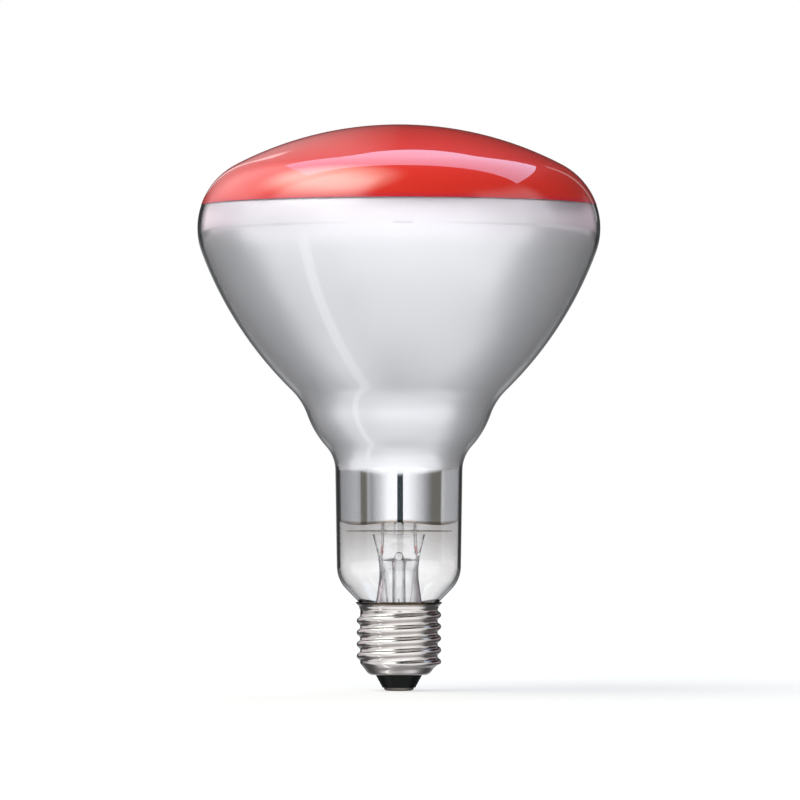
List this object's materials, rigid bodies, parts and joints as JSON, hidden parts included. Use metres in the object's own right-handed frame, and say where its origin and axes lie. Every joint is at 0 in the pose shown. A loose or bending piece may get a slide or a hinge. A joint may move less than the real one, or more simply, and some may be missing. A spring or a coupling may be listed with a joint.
{
  "type": "infrared heat lamp bulb",
  "caption": "Infrared reflector lamp with a blown glass bulb, red domed front, mirrored body, clear neck and screw cap.",
  "frame": {"origin": "on the lamp's axis, in the lower face of the cap's centre contact", "axes": "+Z along the lamp's axis from the cap to the red front, +X to the right as seen from the front, -Y towards the viewer"},
  "size_m": [0.125, 0.125, 0.1755],
  "materials": {
    "clear_glass": "clear, glossy",
    "mirror_coat": "satin mirror",
    "red_front_coat": "glossy, translucent red",
    "stem_glass": "clear, glossy",
    "heat_shield": "matt",
    "nickel_wire": "dull",
    "copper_wire": "bright",
    "tungsten": "dull",
    "cap_shell": "nickel-plated, semi-bright",
    "cap_insulator": "glossy black",
    "centre_contact": "dull",
    "solder": "semi-bright",
    "basing_cement": "matt"
  },
  "bodies": {
    "root": {"glass_envelope": "clear_glass", "mirror_coat": "mirror_coat", "red_front_coat": "red_front_coat", "glass_stem": "stem_glass", "exhaust_tube": "stem_glass", "arbor": "stem_glass", "heat_shield": "heat_shield", "shield_eyelet_left": "nickel_wire", "shield_eyelet_right": "nickel_wire", "inner_lead_left": "nickel_wire", "inner_lead_right": "nickel_wire", "lead_clamp_left": "nickel_wire", "lead_clamp_right": "nickel_wire", "seal_wire_left": "copper_wire", "seal_wire_right": "copper_wire", "outer_lead_centre": "copper_wire", "outer_lead_side": "copper_wire", "filament": "tungsten", "filament_support_1": "tungsten", "filament_support_2": "tungsten", "filament_support_3": "tungsten", "filament_support_4": "tungsten", "filament_support_5": "tungsten", "cap_shell": "cap_shell", "cap_insulator": "cap_insulator", "centre_contact": "centre_contact", "contact_solder": "solder", "side_solder": "solder", "basing_cement": "basing_cement"}
  },
  "joints": []
}
